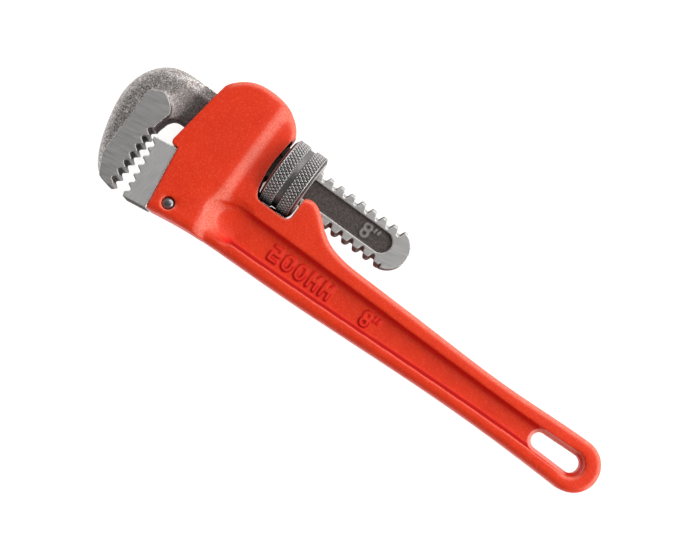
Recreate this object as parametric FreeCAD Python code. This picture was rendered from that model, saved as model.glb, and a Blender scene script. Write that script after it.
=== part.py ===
"""Straight pipe wrench of the 8 inch size, 200 mm long, lying flat on its side.

The cast handle carries a housing at its head. The hook jaw's shank runs through the housing
and through a knurled nut that sits in a slot of the handle. Turning the nut moves the hook jaw
away from the heel jaw, which a cross pin holds in the front of the housing. A leaf spring and
a coil spring push up on the shank, so that the hook jaw can rock a little and bite the pipe.

Frame: +X runs from the jaws to the end of the handle, +Y from the handle's back to the shank,
+Z up. The origin is under the middle of the wrench, at the level of the nut's lowest point.
Everything is drawn around the wrench's middle plane at z = 0. At the end it is lifted by
MID_HEIGHT and moved by MIDDLE_Y along Y.
"""

import FreeCAD
import Part

import math
import os

Vector = FreeCAD.Vector

# ---- Driving dimensions, mm -----------------------------------------------------------------

# Screw line: the shank, its thread and the nut share one axis, parallel to X.
AXIS_Y = 9.0
PITCH = 4.3
CREST_RADIUS = 7.7           # outer radius of the shank's thread
CORE_HALF_HEIGHT = 5.9       # the shank's solid bar between its two rows of teeth
CORE_RADIUS = 6.0            # rounds the bar's four corners off, so that it passes the nut
TOP_CREST_X = 2.4            # where one crest of the upper row stands
TOOTH_CREST_WIDTH = 1.3
TOOTH_FOOT = 4.5             # the teeth are drawn from this far off the axis,
TOOTH_FOOT_WIDTH = 3.6       # where they are this wide
SHANK_HALF = 3.9             # half the shank's thickness
THREAD_START_X = -58.0
THREAD_END_X = 1.6
NECK_LOW_Y = 2.0             # lower edge of the plain stretch between the head and the thread
SHANK_END_RADIUS = 7.45
SHANK_END_X = 0.1            # centre of the rounded end

# Knurled nut.
NUT_RADIUS = 12.0
NUT_MIDDLE_X = -38.1
NUT_WIDTH = 12.4
NUT_BORE_RADIUS = 6.3
NUT_GROOVE_RADIUS = 8.0
NUT_WAIST_RADIUS = 11.2      # smooth groove between the two knurled bands
NUT_WAIST_WIDTH = 1.9
NUT_RIM_BEVEL = (0.9, 1.8)   # along the axis and towards it
THREAD_SIDE_PLAY = 0.6

# Handle and housing.
HOUSING_HALF = 8.3           # half thickness at the housing
BEAM_HALF = 6.1              # half thickness of the beam behind the housing
STEP_START_X = -55.3         # the housing's side slopes down to the beam over this stretch
STEP_END_X = -50.3
WEB_HALF = 2.7               # half thickness of the beam's web
CAST_ROUND = 2.2             # rounding of the casting's outer edges
WEB_ROUND = 1.5
RECESS_Y = -14.7             # middle of the recess at its front end
SCOOP_X = -43.0              # this end is scooped out by a leaning cylinder
SCOOP_RADIUS = 5.85
SCOOP_LEAN = 42.0            # degrees
NUT_SLOT_BACK_X = -31.1
NUT_SLOT_FLOOR_Y = -3.6
SLOT_CORNER = 2.0
WINDOW_HALF = 4.2            # half width of the shank's window, across the thickness
WINDOW_TOP_Y = 17.0
WINDOW_FLOOR_FRONT = (-80.0, -2.7)
WINDOW_FLOOR_BACK = (-43.0, -0.85)
FORK_FLOOR_Y = 0.6           # floor of the channel between the fork's two cheeks
HANDLE_END_CENTRE = (90.7, -13.2)
HANDLE_END_RADIUS = 9.1
HOLE_BACK = (77.3, -13.3, 2.8)    # hanging hole: x, y and radius of each end
HOLE_FRONT = (90.0, -13.2, 3.15)
FRONT_TOP = (-73.6, 18.7)    # the housing's front face runs between these two points
FRONT_FOOT = (-76.8, -4.2)

# Heel jaw, drawn along its own seat line, which leans by HEEL_LEAN from the Y axis.
HEEL_SEAT_TOP = (-73.8, -5.5)
HEEL_LEAN = math.radians(8.0)
HEEL_LENGTH = 22.2
HEEL_DEPTH = 8.65            # seat to tooth tips
HEEL_HALF = 7.5
HEEL_TANG = (9.5, 20.5, 9.3)      # start and end along the seat, and depth into the housing
HEEL_TANG_HALF = 3.8
HEEL_PLAY = 0.12
HEEL_GULLETS = 6
HEEL_FIRST_GULLET = 3.0
JAW_TOOTH_PITCH = 3.24
JAW_TOOTH_DEPTH = 1.5
PIN_ALONG, PIN_DEEP = 17.3, 5.6  # heel pin, along the seat and deep into the housing
PIN_RADIUS = 2.2
PIN_HALF_LENGTH = 7.7
PIN_PLAY = 0.02

# Hook jaw's head.
HEAD_HALF = 6.7              # forged head
PAD_HALF = 7.5               # ground pads beside the teeth
HEAD_ROUND = 4.5             # rounding of the forging's back
HOOK_TIP_X = -83.9
HOOK_GULLETS = 7
HOOK_FIRST_GULLET_Y = -6.1

# Springs under the shank.
LEAF_HALF_WIDTH = 3.2
LEAF_THICKNESS = 0.7
LEAF_ENDS_X = (-75.5, -49.0)
LEAF_END_Y = 0.7
LEAF_SAG = 0.45
COIL_X = -66.5
COIL_WIRE = 0.4              # wire radius
COIL_MEAN_RADIUS = 2.1
COIL_TURNS = 5.5
POCKET_RADIUS = 2.9
POCKET_FLOOR_Y = -8.6
RIVET_RADIUS = 0.9
RIVET_HEAD_RADIUS = 1.55

# Raised size marks.
MARK_HEIGHT = 5.6
MARK_WIDTH = 3.6
MARK_STROKE = 0.45           # half the width of a stroke
MARK_RAISE = 0.45

MID_HEIGHT = NUT_RADIUS
MIDDLE_Y = 0.53              # brings the middle of the wrench's box to the origin
FAR = 40.0                   # reach of cutting tools past the part


# ---- Drawing helpers ------------------------------------------------------------------------

class Outline:
    """A closed outline in the XY plane, drawn edge by edge from a starting point."""

    def __init__(self, x, y):
        self.start = self.at = Vector(x, y, 0)
        self.edges = []

    def _add(self, curve, end):
        self.edges.append(curve.toShape())
        self.at = end
        return self

    def line(self, x, y):
        end = Vector(x, y, 0)
        return self._add(Part.LineSegment(self.at, end), end)

    def arc(self, through, end):
        middle, last = Vector(*through, 0), Vector(*end, 0)
        return self._add(Part.Arc(self.at, middle, last), last)

    def curve(self, *points, start=None, finish=None):
        """A smooth curve through the points; start and finish are its directions, if given."""
        last = Vector(*points[-1], 0)
        spline = Part.BSplineCurve()
        through = [self.at] + [Vector(*p, 0) for p in points]
        ends = {}
        if start:
            ends["InitialTangent"] = Vector(*start, 0)
        if finish:
            ends["FinalTangent"] = Vector(*finish, 0)
        spline.interpolate(Points=through, **ends)
        return self._add(spline, last)

    def face(self):
        if (self.at - self.start).Length > 1e-6:
            self.line(self.start.x, self.start.y)
        return Part.Face(Part.Wire(self.edges))


def prism(face, low, high):
    """The face pushed from z = low to z = high."""
    moved = face.copy()
    moved.translate(Vector(0, 0, low))
    return moved.extrude(Vector(0, 0, high - low))


def slab(face, half):
    return prism(face, -half, half)


def box(low, high):
    size = [b - a for a, b in zip(low, high)]
    return Part.makeBox(*size, Vector(*low))


def polygon(points):
    corners = [Vector(x, y, 0) for x, y in points]
    return Part.Face(Part.makePolygon(corners + corners[:1]))


def capsule(a, b, half_width):
    """A straight stroke with round ends, as a face."""
    start, end = Vector(*a, 0), Vector(*b, 0)
    along = (end - start).normalize()
    side = Vector(-along.y, along.x, 0) * half_width
    nose = along * half_width
    outline = Outline((start + side).x, (start + side).y)
    tail = start - nose
    outline.arc((tail.x, tail.y), ((start - side).x, (start - side).y))
    outline.line((end - side).x, (end - side).y)
    tip = end + nose
    outline.arc((tip.x, tip.y), ((end + side).x, (end + side).y))
    return outline.face()


def tapered_slot(first, second):
    """The hull of two circles, each (x, y, radius), as a face."""
    (ax, ay, ar), (bx, by, br) = first, second
    along = math.atan2(by - ay, bx - ax)
    lean = math.acos((ar - br) / math.hypot(bx - ax, by - ay))

    def on(x, y, r, angle):
        return (x + r * math.cos(angle), y + r * math.sin(angle))

    outline = Outline(*on(ax, ay, ar, along + lean))
    outline.arc(on(ax, ay, ar, along + math.pi), on(ax, ay, ar, along - lean))
    outline.line(*on(bx, by, br, along - lean))
    outline.arc(on(bx, by, br, along), on(bx, by, br, along + lean))
    return outline.face()


def fillet_edges(shape, radius, wanted):
    """Rounds the edges that wanted(middle of the edge) picks."""
    edges = []
    for edge in shape.Edges:
        middle = edge.valueAt((edge.FirstParameter + edge.LastParameter) / 2)
        if wanted(middle):
            edges.append(edge)
    return shape.makeFillet(radius, edges)


def along_x(shape):
    """Turns a shape built around the Z axis so that its axis lies along the screw line."""
    turned = shape.copy()
    turned.rotate(Vector(0, 0, 0), Vector(0, 1, 0), 90)
    turned.translate(Vector(0, AXIS_Y, 0))
    return turned


# ---- Raised size marks ----------------------------------------------------------------------

def ring(x, y, radius_x, radius_y):
    """An upright oval stroke, as two arcs and two straight sides."""
    rise = radius_y - radius_x
    outer = tapered_slot((x, y - rise, radius_x + MARK_STROKE), (x, y + rise, radius_x + MARK_STROKE))
    inner = tapered_slot((x, y - rise, radius_x - MARK_STROKE), (x, y + rise, radius_x - MARK_STROKE))
    return outer.cut(inner)


def round_ring(x, y, radius):
    outer = Part.Face(Part.Wire(Part.makeCircle(radius + MARK_STROKE, Vector(x, y, 0))))
    inner = Part.Face(Part.Wire(Part.makeCircle(radius - MARK_STROKE, Vector(x, y, 0))))
    return outer.cut(inner)


def mark_eight_inch(x, y):
    """An 8 with two small ticks after it, centred on (x, y)."""
    loop = MARK_HEIGHT / 4 - MARK_STROKE / 2
    ticks_x = x + MARK_WIDTH / 2 + 1.0
    ticks_y = y + MARK_HEIGHT / 2 - 0.6
    return [
        round_ring(x, y + loop, loop),
        round_ring(x, y - loop, loop),
        capsule((ticks_x, ticks_y), (ticks_x - 0.3, ticks_y - 1.2), MARK_STROKE * 0.8),
        capsule((ticks_x + 1.4, ticks_y), (ticks_x + 1.1, ticks_y - 1.2), MARK_STROKE * 0.8),
    ]


def mark_length(x, y):
    """The wrench's length, 200, in tall figures, then MM, from x to the right, centred on y."""
    top, low = y + MARK_HEIGHT / 2 - MARK_STROKE, y - MARK_HEIGHT / 2 + MARK_STROKE
    half = MARK_WIDTH / 2 - MARK_STROKE
    step = MARK_WIDTH + 1.5
    strokes = []
    left, right = x - half, x + half
    bend = [(left, top), (right, top), (right, y), (left, y), (left, low), (right, low)]
    for a, b in zip(bend, bend[1:]):
        strokes.append(capsule(a, b, MARK_STROKE))
    for i in (1, 2):
        strokes.append(ring(x + i * step, y, half, MARK_HEIGHT / 2 - MARK_STROKE))
    for i in (3, 4):
        left, right, middle = x + i * step - half, x + i * step + half, x + i * step
        shape = [(left, low), (left, top), (middle, y), (right, top), (right, low)]
        for a, b in zip(shape, shape[1:]):
            strokes.append(capsule(a, b, MARK_STROKE))
    return strokes


def raise_marks(faces, floor):
    """The strokes as one solid standing MARK_RAISE above z = floor, sunk a little into it."""
    solids = [prism(f, floor - 0.3, floor + MARK_RAISE) for f in faces]
    return solids[0].multiFuse(solids[1:]).removeSplitter()


# ---- Handle ---------------------------------------------------------------------------------

def heel_point(along, deep):
    """A point in the heel jaw's own frame: along its seat, and deep into the housing."""
    x0, y0 = HEEL_SEAT_TOP
    return (
        x0 + along * math.sin(HEEL_LEAN) + deep * math.cos(HEEL_LEAN),
        y0 - along * math.cos(HEEL_LEAN) + deep * math.sin(HEEL_LEAN),
    )


def lower_edge(outline, end):
    """The back of the handle, from the housing's foot to the point end."""
    return outline.curve((-71.5, -27.4), (-58.0, -25.6), (-30.0, -24.7), (20.0, -22.7),
                         (58.0, -21.6), (76.0, -21.8), end, finish=(1, 0))


def dome(outline):
    """The housing's rounded top, from the nut slot over to a point in front of the housing."""
    return outline.curve((-45.1, 20.0), (-48.4, 24.2), (-52.9, 26.6), (-59.4, 27.6),
                         (-66.2, 26.6), (-71.4, 23.1), (-75.2, 17.0), (-77.8, 7.0))


def casting_blank(half):
    """The whole handle as cast, at one thickness, with its edges rounded."""
    end_x, end_y = HANDLE_END_CENTRE
    o = Outline(-84.0, -29.5)
    lower_edge(o, (end_x, end_y - HANDLE_END_RADIUS))
    o.arc((end_x + HANDLE_END_RADIUS, end_y), (end_x, end_y + HANDLE_END_RADIUS))
    o.curve((60.0, -5.1), (25.0, -4.4), (0.0, -3.8), (-11.5, -2.8), (-16.8, -0.9), (-24.3, 5.1),
            (-28.0, 6.7), (-32.0, 5.6), (-37.0, 4.6), (-42.0, 8.5), (-44.2, 16.5), start=(-1, 0),
            finish=(-0.1, 1))
    dome(o)
    o.line(-84.0, 4.0)
    blank = slab(o.face(), half)
    return fillet_edges(blank, CAST_ROUND, lambda p: abs(abs(p.z) - half) < 1e-3 and p.x > -83)


def housing_blank():
    """The thicker boss around the shank and the heel jaw, sloping down to the beam."""
    low = BEAM_HALF - 0.2
    slope = polygon([
        (STEP_START_X, HOUSING_HALF + 1e-3), (STEP_END_X, low), (STEP_END_X, -low),
        (STEP_START_X, -HOUSING_HALF - 1e-3), (-90.0, -HOUSING_HALF - 1), (-90.0, HOUSING_HALF + 1),
    ])
    profile = slab(slope, FAR)
    profile.rotate(Vector(0, 0, 0), Vector(1, 0, 0), 90)
    return casting_blank(HOUSING_HALF).common(profile)


def machined_front():
    """Everything in front of the housing's front face and the heel jaw's seat."""
    return slab(polygon([
        (-70.0, FAR), (FRONT_TOP[0] + 2.6, FRONT_TOP[1] + 8.0), (FRONT_TOP[0], FRONT_TOP[1] + 1.0),
        FRONT_TOP, FRONT_FOOT, (-76.3, -5.3), HEEL_SEAT_TOP,
        heel_point(HEEL_LENGTH + 15, 0), (-FAR * 3, -FAR), (-FAR * 3, FAR),
    ]), FAR)


def nut_slot():
    """The slot for the nut, open at the top. Its front wall bellies out around the nut."""
    floor, back, corner = NUT_SLOT_FLOOR_Y, NUT_SLOT_BACK_X, SLOT_CORNER
    bend = corner * (1 - math.sqrt(0.5))
    o = Outline(back, FAR)
    o.line(back, floor + corner)
    o.arc((back - bend, floor + bend), (back - corner, floor))
    o.line(-42.4, floor)
    o.curve((-44.0, -2.8), (-44.8, -1.3), (-45.5, 1.4), (-46.1, 5.5), (-46.3, 9.0), (-46.1, 12.5), (-45.7, 16.0),
            (-45.3, 19.5), start=(-1, 0))
    o.line(-45.3, FAR)
    return slab(o.face(), FAR)


def web_pocket():
    """The tool for one side's recess: rounded where its walls meet the web, scooped at its front end."""
    o = Outline(-45.5, -8.8)
    o.curve((0.0, -9.2), (60.0, -9.7), (74.0, -9.6), (89.5, -8.9), finish=(1, 0))
    o.arc((94.0, -13.4), (89.5, -17.9))
    o.curve((74.0, -17.5), (60.0, -17.6), (0.0, -19.5), (-45.5, -20.6), start=(-1, 0))
    o.arc((-51.4, RECESS_Y), (-45.5, -8.8))
    tool = prism(o.face(), WEB_HALF, FAR)
    tool = fillet_edges(tool, WEB_ROUND, lambda p: abs(p.z - WEB_HALF) < 1e-3)
    scoop = Part.makeCylinder(SCOOP_RADIUS, 2 * FAR, Vector(SCOOP_X, RECESS_Y, WEB_HALF - FAR))
    scoop.rotate(Vector(SCOOP_X, RECESS_Y, WEB_HALF), Vector(0, 1, 0), -SCOOP_LEAN)
    return tool.fuse(scoop.common(box((-FAR * 2, -FAR, WEB_HALF), (SCOOP_X - 5, FAR, FAR))))


def handle_cuts():
    """Everything machined or cored out of the casting."""
    window = polygon([
        WINDOW_FLOOR_FRONT, WINDOW_FLOOR_BACK,
        (WINDOW_FLOOR_BACK[0], WINDOW_TOP_Y), (WINDOW_FLOOR_FRONT[0], WINDOW_TOP_Y),
    ])
    fork = polygon([(-32.0, FORK_FLOOR_Y), (-10.0, FORK_FLOOR_Y), (-10.0, 14.0), (-32.0, 14.0)])
    start, end, deep = HEEL_TANG
    seat = polygon([
        heel_point(start - HEEL_PLAY, -3), heel_point(end + HEEL_PLAY, -3),
        heel_point(end + HEEL_PLAY, deep + HEEL_PLAY), heel_point(start - HEEL_PLAY, deep + HEEL_PLAY),
    ])
    pocket = Part.makeCylinder(
        POCKET_RADIUS, FORK_FLOOR_Y - POCKET_FLOOR_Y, Vector(COIL_X, POCKET_FLOOR_Y, 0), Vector(0, 1, 0))
    px, py = heel_point(PIN_ALONG, PIN_DEEP)
    pin_hole = Part.makeCylinder(PIN_RADIUS + PIN_PLAY, 2 * FAR, Vector(px, py, -FAR))
    hole = slab(tapered_slot(HOLE_BACK, HOLE_FRONT), FAR)
    return [
        machined_front(), nut_slot(), slab(window, WINDOW_HALF), slab(fork, WINDOW_HALF),
        slab(seat, HEEL_TANG_HALF + HEEL_PLAY), pocket, pin_hole, hole,
    ]


def handle():
    body = casting_blank(BEAM_HALF).fuse(housing_blank())
    pocket = web_pocket()
    body = body.cut(pocket).cut(pocket.mirror(Vector(0, 0, 0), Vector(0, 0, 1)))
    for tool in handle_cuts():
        body = body.cut(tool)
    marks = raise_marks(mark_length(-28.2, -14.6) + mark_eight_inch(8.0, -14.4), WEB_HALF)
    underside = marks.copy()
    underside.rotate(Vector(-6.0, -14.5, 0), Vector(0, 1, 0), 180)
    return body.fuse(marks).fuse(underside).removeSplitter()


# ---- Heel jaw and its pin -------------------------------------------------------------------

def heel_jaw():
    """Toothed block with a narrow tang that enters the housing."""
    corners = [heel_point(0.15, 0.0), heel_point(HEEL_LENGTH, 0.0)]
    corners.append(heel_point(HEEL_LENGTH, -HEEL_DEPTH + 0.2))
    corners.append(heel_point(HEEL_LENGTH - 1.2, -HEEL_DEPTH))
    for i in reversed(range(HEEL_GULLETS)):
        middle = HEEL_FIRST_GULLET + i * JAW_TOOTH_PITCH
        corners.append(heel_point(middle + 1.25, -HEEL_DEPTH))
        corners.append(heel_point(middle + 0.25, -HEEL_DEPTH + JAW_TOOTH_DEPTH))
        corners.append(heel_point(middle - 0.35, -HEEL_DEPTH + JAW_TOOTH_DEPTH))
        corners.append(heel_point(middle - 1.45, -HEEL_DEPTH))
    corners.append(heel_point(0.15, -HEEL_DEPTH))
    block = slab(polygon(corners), HEEL_HALF)
    start, end, deep = HEEL_TANG
    tang_corners = [(start, -1), (end, -1), (end, deep), (start, deep)]
    tang = slab(polygon([heel_point(*c) for c in tang_corners]), HEEL_TANG_HALF)
    px, py = heel_point(PIN_ALONG, PIN_DEEP)
    hole = Part.makeCylinder(PIN_RADIUS + PIN_PLAY, 2 * FAR, Vector(px, py, -FAR))
    return block.fuse(tang).cut(hole).removeSplitter()


def heel_jaw_pin():
    """Straight pin with a bevel at each end, driven through both cheeks."""
    px, py = heel_point(PIN_ALONG, PIN_DEEP)
    pin = Part.makeCylinder(PIN_RADIUS, 2 * PIN_HALF_LENGTH, Vector(px, py, -PIN_HALF_LENGTH))
    ends = [e for e in pin.Edges if abs(e.BoundBox.ZMax - e.BoundBox.ZMin) < 1e-6]
    return pin.makeChamfer(0.5, ends)


# ---- Hook jaw -------------------------------------------------------------------------------

def shank_tooth(x, side):
    """One tooth of the shank's thread. side is 1 for the upper row and -1 for the lower one."""
    lead = PITCH / (2 * math.pi * 0.5 * (CREST_RADIUS + NUT_BORE_RADIUS))
    wide, narrow = TOOTH_FOOT_WIDTH / 2, TOOTH_CREST_WIDTH / 2
    foot, top = AXIS_Y + side * TOOTH_FOOT, AXIS_Y + side * CREST_RADIUS
    face = polygon([(x - wide, foot), (x + wide, foot), (x + narrow, top), (x - narrow, top)])
    reach = SHANK_HALF + 1
    face.translate(Vector(-side * lead * reach, 0, -reach))
    return face.extrude(Vector(2 * side * lead * reach, 0, 2 * reach))


def shank():
    """Flat bar with a row of thread teeth on both edges, a recess on both sides and a round end."""
    bar = box((THREAD_START_X - 1, AXIS_Y - CORE_HALF_HEIGHT, -SHANK_HALF),
              (SHANK_END_X + 2, AXIS_Y + CORE_HALF_HEIGHT, SHANK_HALF))
    bar = bar.common(along_x(Part.makeCylinder(CORE_RADIUS, 2 * FAR, Vector(0, 0, 5 - 2 * FAR))))
    neck = box((-79.5, NECK_LOW_Y, -SHANK_HALF),
               (THREAD_START_X, AXIS_Y + CREST_RADIUS, SHANK_HALF))
    end = Part.makeCylinder(SHANK_END_RADIUS, 2 * SHANK_HALF, Vector(SHANK_END_X, AXIS_Y, -SHANK_HALF))
    end = end.common(box((THREAD_END_X, -FAR, -FAR), (FAR, FAR, FAR)))
    round_bar = along_x(Part.makeCylinder(CREST_RADIUS, 2 * FAR, Vector(0, 0, 5 - 2 * FAR)))
    limits = box((THREAD_START_X - 1, -FAR, -SHANK_HALF), (THREAD_END_X + 1.5, FAR, SHANK_HALF))
    teeth = []
    count = int((THREAD_END_X + 1 - THREAD_START_X) / PITCH) + 1
    for i in range(count):
        for side, phase in ((1, 0.0), (-1, 0.5)):
            x = TOP_CREST_X - (i + phase) * PITCH
            if x - TOOTH_FOOT_WIDTH / 2 > THREAD_START_X - 1:
                teeth.append(shank_tooth(x, side).common(round_bar).common(limits))
    body = bar.multiFuse([neck, end] + teeth)
    recess = tapered_slot((-52.0, AXIS_Y, 3.7), (-2.8, AXIS_Y, 3.7))
    for low, high in ((SHANK_HALF - 0.9, FAR), (-FAR, -SHANK_HALF + 0.9)):
        body = body.cut(prism(recess, low, high))
    marks = raise_marks(mark_eight_inch(-9.0, 9.2), SHANK_HALF - 0.9)
    return body.fuse(marks).removeSplitter()


def head_blank(half, rounding=0.0):
    """The forged hook at one thickness, before its teeth and throat are cut."""
    top, bottom, right = AXIS_Y + CREST_RADIUS, -28.6, -66.0
    o = Outline(right, top)
    o.line(-79.0, top)
    o.curve((-85.0, top + 0.05), (-90.5, 15.6), (-95.2, 12.2), (-98.4, 7.0), (-99.8, 0.0), (-98.9, -8.0),
            (-96.5, -16.6), (-93.4, -23.3), (-89.5, -27.4), (-84.0, bottom), (-79.0, bottom))
    o.line(right, bottom)
    blank = slab(o.face(), half)
    if rounding:
        blank = fillet_edges(blank, rounding, lambda p: abs(abs(p.z) - half) < 1e-3 and p.x < -81)
    return blank


def jaw_space():
    """What the teeth and the throat leave free beside the heel jaw."""
    o = Outline(-85.1, -40.0)
    o.line(-85.1, -28.4)
    o.line(HOOK_TIP_X + 0.1, -27.2)
    gullet = HOOK_FIRST_GULLET_Y - (HOOK_GULLETS - 1) * JAW_TOOTH_PITCH
    for i in range(HOOK_GULLETS):
        middle = gullet + i * JAW_TOOTH_PITCH
        o.line(HOOK_TIP_X, middle - 1.35)
        o.line(HOOK_TIP_X - JAW_TOOTH_DEPTH, middle - 0.3)
        o.line(HOOK_TIP_X - JAW_TOOTH_DEPTH, middle + 0.3)
        o.line(HOOK_TIP_X, middle + 1.35)
    o.curve((-83.5, -2.2), (-82.0, 0.5), (-77.9, NECK_LOW_Y), start=(0, 1), finish=(1, 0))
    o.line(-60.0, NECK_LOW_Y)
    o.line(-60.0, -40.0)
    return slab(o.face(), FAR)


def hook_head():
    """The forged hook, with a ground pad on each side of its teeth."""
    thickness = polygon([
        (-110.0, -HEAD_HALF - 1), (-86.0, -HEAD_HALF - 1e-3), (-79.0, -SHANK_HALF), (-77.9, -SHANK_HALF),
        (-77.9, SHANK_HALF), (-79.0, SHANK_HALF), (-86.0, HEAD_HALF + 1e-3), (-110.0, HEAD_HALF + 1),
    ])
    profile = slab(thickness, FAR)
    profile.rotate(Vector(0, 0, 0), Vector(1, 0, 0), 90)
    forged = head_blank(HEAD_HALF, HEAD_ROUND).common(profile)
    p = Outline(-80.0, -30.0)
    p.line(-80.0, -4.9)
    p.line(-83.5, -4.9)
    p.curve((-83.2, -1.0), (-82.4, 1.6), start=(0, 1), finish=(0.35, 1))
    p.curve((-84.0, 4.4), (-86.2, 6.0), (-88.5, 6.5), (-90.8, 5.4), (-92.6, 2.6), start=(-0.2, 1),
            finish=(0, -1))
    p.line(-92.6, -21.0)
    p.line(-88.0, -30.0)
    pad = head_blank(PAD_HALF).common(slab(p.face(), FAR))
    return forged.fuse(pad).cut(jaw_space())


def hook_jaw():
    return hook_head().fuse(shank()).removeSplitter()


# ---- Adjusting nut --------------------------------------------------------------------------

def adjusting_nut():
    """Ring with two bands for the knurl, a smooth waist between them and an internal thread."""
    half = NUT_WIDTH / 2
    wide, deep = NUT_RIM_BEVEL
    section = polygon([
        (0, -half), (NUT_RADIUS - deep, -half), (NUT_RADIUS, wide - half),
        (NUT_RADIUS, half - wide), (NUT_RADIUS - deep, half), (0, half),
    ])
    section.rotate(Vector(0, 0, 0), Vector(1, 0, 0), 90)
    ring_body = section.revolve(Vector(0, 0, 0), Vector(0, 0, 1), 360)
    waist = Part.makeCylinder(NUT_RADIUS + 1, NUT_WAIST_WIDTH, Vector(0, 0, -NUT_WAIST_WIDTH / 2))
    waist = waist.cut(Part.makeCylinder(NUT_WAIST_RADIUS, NUT_WIDTH, Vector(0, 0, -half)))
    bore = Part.makeCylinder(NUT_BORE_RADIUS, 2 * NUT_WIDTH, Vector(0, 0, -NUT_WIDTH))
    body = ring_body.cut(waist).cut(bore)
    body = body.cut(thread_groove())
    placed = along_x(body)
    placed.translate(Vector(NUT_MIDDLE_X, 0, 0))
    return placed


def thread_groove():
    """The helical groove for the shank's teeth, around the Z axis, which becomes X."""
    flank = (TOOTH_FOOT_WIDTH - TOOTH_CREST_WIDTH) / 2 / (CREST_RADIUS - TOOTH_FOOT)
    inner = NUT_BORE_RADIUS - 0.6

    def half_width(radius):
        return TOOTH_CREST_WIDTH / 2 + flank * (CREST_RADIUS - radius) + THREAD_SIDE_PLAY

    turns = 6
    height = turns * PITCH
    helix = Part.makeHelix(PITCH, height, inner)
    deep, shallow = half_width(NUT_GROOVE_RADIUS), half_width(inner)
    corners = [Vector(inner, 0, -shallow), Vector(NUT_GROOVE_RADIUS, 0, -deep),
               Vector(NUT_GROOVE_RADIUS, 0, deep), Vector(inner, 0, shallow)]
    profile = Part.Wire(Part.makePolygon(corners + corners[:1]))
    groove = Part.Wire(helix.Edges).makePipeShell([profile], True, True)
    # Turning Z to X carries local x to -z, so a quarter turn puts the start at +Y, over the top row.
    groove.rotate(Vector(0, 0, 0), Vector(0, 0, 1), 90)
    steps = round((TOP_CREST_X - NUT_MIDDLE_X) / PITCH)
    offset = TOP_CREST_X - NUT_MIDDLE_X - steps * PITCH
    groove.translate(Vector(0, 0, offset - turns / 2 * PITCH))
    return groove


# ---- Springs --------------------------------------------------------------------------------

def leaf_line(x):
    """Height of the leaf spring's middle surface at x: a shallow bow between its two ends."""
    front, back = LEAF_ENDS_X
    share = (x - front) / (back - front)
    return LEAF_END_Y - 4 * LEAF_SAG * share * (1 - share)


def leaf_spring():
    """Bowed flat spring that bears on the shank's lower edge."""
    front, back = LEAF_ENDS_X
    middle, half = (front + back) / 2, LEAF_THICKNESS / 2
    o = Outline(front, LEAF_END_Y - half)
    o.arc((middle, leaf_line(middle) - half), (back, LEAF_END_Y - half))
    o.line(back, LEAF_END_Y + half)
    o.arc((middle, leaf_line(middle) + half), (front, LEAF_END_Y + half))
    strip = slab(o.face(), LEAF_HALF_WIDTH)
    hole = Part.makeCylinder(RIVET_RADIUS + 0.03, 6, Vector(COIL_X, -3, 0), Vector(0, 1, 0))
    return strip.cut(hole)


def spring_rivet():
    """Rivet that ties the coil spring to the leaf spring: a thin head, a stem and a flange."""
    under = leaf_line(COIL_X) - LEAF_THICKNESS / 2
    over = leaf_line(COIL_X) + LEAF_THICKNESS / 2
    up = Vector(0, 1, 0)
    head = Part.makeCylinder(RIVET_HEAD_RADIUS, 0.35, Vector(COIL_X, over + 0.1, 0), up)
    stem = Part.makeCylinder(RIVET_RADIUS, over - under + 2.6, Vector(COIL_X, under - 2.4, 0), up)
    return head.fuse(stem).removeSplitter()


def coil_spring():
    """Compression spring between the pocket's floor and the leaf spring."""
    top = leaf_line(COIL_X) - LEAF_THICKNESS / 2 - 0.1
    height = top - POCKET_FLOOR_Y - 0.05 - 2 * COIL_WIRE
    helix = Part.makeHelix(height / COIL_TURNS, height, COIL_MEAN_RADIUS)
    section = Part.Wire(Part.makeCircle(COIL_WIRE, Vector(COIL_MEAN_RADIUS, 0, 0), Vector(0, 1, 0)))
    coil = Part.Wire(helix.Edges).makePipeShell([section], True, True)
    coil.rotate(Vector(0, 0, 0), Vector(1, 0, 0), -90)
    coil.translate(Vector(COIL_X, POCKET_FLOOR_Y + 0.05 + COIL_WIRE, 0))
    return coil


NODES = {
    "handle": handle,
    "heel_jaw": heel_jaw,
    "heel_jaw_pin": heel_jaw_pin,
    "hook_jaw": hook_jaw,
    "adjusting_nut": adjusting_nut,
    "leaf_spring": leaf_spring,
    "spring_rivet": spring_rivet,
    "coil_spring": coil_spring,
}


def main():
    os.makedirs("parts", exist_ok=True)
    low, high = [1e9] * 3, [-1e9] * 3
    for name, make in NODES.items():
        shape = make()
        shape.translate(Vector(0, MIDDLE_Y, MID_HEIGHT))
        b = shape.BoundBox
        low = [min(a, v) for a, v in zip(low, (b.XMin, b.YMin, b.ZMin))]
        high = [max(a, v) for a, v in zip(high, (b.XMax, b.YMax, b.ZMax))]
        print(f"{name:14} solids {len(shape.Solids)} valid {shape.isValid()} volume {shape.Volume:.1f}")
        shape.exportStep(f"parts/{name}.step")
    print("lowest corner", [round(v, 3) for v in low], "highest", [round(v, 3) for v in high])


main()
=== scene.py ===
# A pipe wrench lying on a white table, seen from above.
# The frame: +X runs from the jaws to the handle's end, +Y from the handle's back to the shank,
# and +Z up from the table.
# Handle, hook jaw and heel jaw are made by remeshing their CAD nodes finely and relaxing the
# surface, so that every edge is soft as in the real thing. The nut and the pin are built here, and
# the springs keep their CAD shape.

import math

import bmesh
import bpy
import numpy as np
from mathutils import Matrix, Vector


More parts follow.
